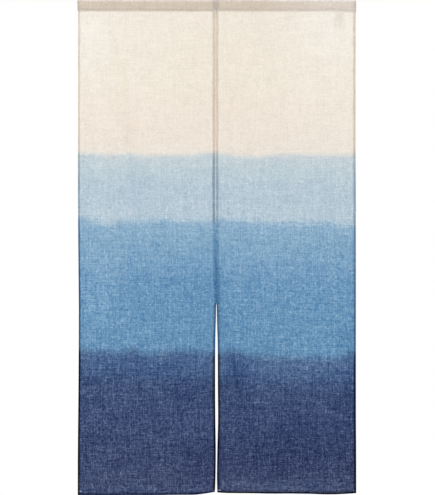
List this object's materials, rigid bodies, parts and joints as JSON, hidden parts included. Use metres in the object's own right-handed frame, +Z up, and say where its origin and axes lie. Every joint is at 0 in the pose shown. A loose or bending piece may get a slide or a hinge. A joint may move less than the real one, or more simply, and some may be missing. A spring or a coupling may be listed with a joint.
{
  "type": "noren curtain",
  "caption": "Split door curtain of thin dip-dyed cloth that hangs straight from a rod pocket, sewn together above and open below.",
  "frame": {"origin": "middle of the top edge, where a rod carries the heading", "axes": "+Z up, +X to the right as seen from the front, the front faces -Y"},
  "size_m": [0.8495, 0.0197, 1.5165],
  "materials": {
    "heading_cloth": "matte natural linen weave, two and three layers thick",
    "left_cloth": "matte sheer linen weave, dip-dyed from natural through two blues to navy",
    "right_cloth": "matte sheer linen weave, dip-dyed from natural through two blues to navy",
    "label_cloth": "smooth woven ribbon, blank"
  },
  "bodies": {
    "root": {"heading": "heading_cloth", "panel_left": "left_cloth", "panel_right": "right_cloth", "care_label": "label_cloth"}
  },
  "joints": []
}
